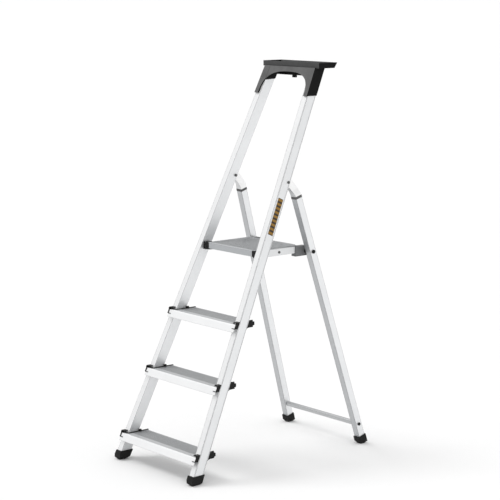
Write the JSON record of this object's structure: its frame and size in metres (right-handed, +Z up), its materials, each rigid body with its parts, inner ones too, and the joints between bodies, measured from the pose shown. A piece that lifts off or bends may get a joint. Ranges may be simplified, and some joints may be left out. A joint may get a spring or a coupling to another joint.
{
  "type": "platform step ladder",
  "caption": "Folding aluminium platform step ladder with grooved treads, a ribbed standing platform, cranked rear frame and a moulded tool tray on top.",
  "frame": {"origin": "on the floor under the middle of the open ladder, halfway between the toes of the front feet and the heels of the rear feet", "axes": "+Z up, +X to the climber's right, +Y from the climbing side to the rear frame"},
  "size_m": [0.463, 0.8658, 1.455],
  "materials": {
    "stile_aluminium": "satin, lengthwise extrusion lines",
    "tread_aluminium": "satin, grooved top",
    "deck_aluminium": "satin, ribbed",
    "bright_fastener": "zinc plated",
    "black_plastic": "moulded, fine grain",
    "tray_plastic": "moulded, fine grain",
    "foot_rubber": "matte",
    "label_film": "printed film, no lettering"
  },
  "bodies": {
    "front_section": {"right_stile": "stile_aluminium", "left_stile": "stile_aluminium", "right_front_foot": "foot_rubber", "left_front_foot": "foot_rubber", "tread_1": "tread_aluminium", "tread_2": "tread_aluminium", "tread_3": "tread_aluminium", "tread_1_right_bracket": "black_plastic", "tread_1_left_bracket": "black_plastic", "tread_2_right_bracket": "black_plastic", "tread_2_left_bracket": "black_plastic", "tread_3_right_bracket": "black_plastic", "tread_3_left_bracket": "black_plastic", "tread_rivets": "bright_fastener", "top_tray": "tray_plastic", "label": "label_film", "right_saddle": "black_plastic", "left_saddle": "black_plastic", "saddle_rivets": "bright_fastener", "right_pivot_bolt": "bright_fastener", "left_pivot_bolt": "bright_fastener", "pivot_nuts": "bright_fastener"},
    "rear_frame": {"right_rear_leg": "stile_aluminium", "left_rear_leg": "stile_aluminium", "right_leg_collar": "black_plastic", "left_leg_collar": "black_plastic", "right_elbow": "stile_aluminium", "left_elbow": "stile_aluminium", "right_rear_foot": "foot_rubber", "left_rear_foot": "foot_rubber", "crossbar": "stile_aluminium", "crossbar_plugs": "black_plastic", "crossbar_bolts": "black_plastic", "right_hinge_bolt": "black_plastic", "left_hinge_bolt": "black_plastic", "hinge_spacers": "black_plastic"},
    "platform": {"platform_deck": "deck_aluminium", "platform_beam": "deck_aluminium", "platform_end_caps": "black_plastic", "right_rail": "stile_aluminium", "left_rail": "stile_aluminium", "right_hinge_block": "black_plastic", "left_hinge_block": "black_plastic", "platform_rear_bar": "black_plastic", "platform_rivets": "bright_fastener"}
  },
  "joints": [
    {"name": "rear_fold", "type": "hinge", "parent": "front_section", "child": "rear_frame", "pos_m": [0, 0.07586, 1.029], "axis": [-1, 0, 0], "range_deg": [0, 37]},
    {"name": "platform_tilt", "type": "hinge", "parent": "rear_frame", "child": "platform", "pos_m": [0, 0.18426, 0.765], "axis": [-1, 0, 0], "range_deg": [0, 56]}
  ],
  "couplings": [
    {"joint": "platform_tilt", "follows": "rear_fold", "ratio": 1.5}
  ]
}
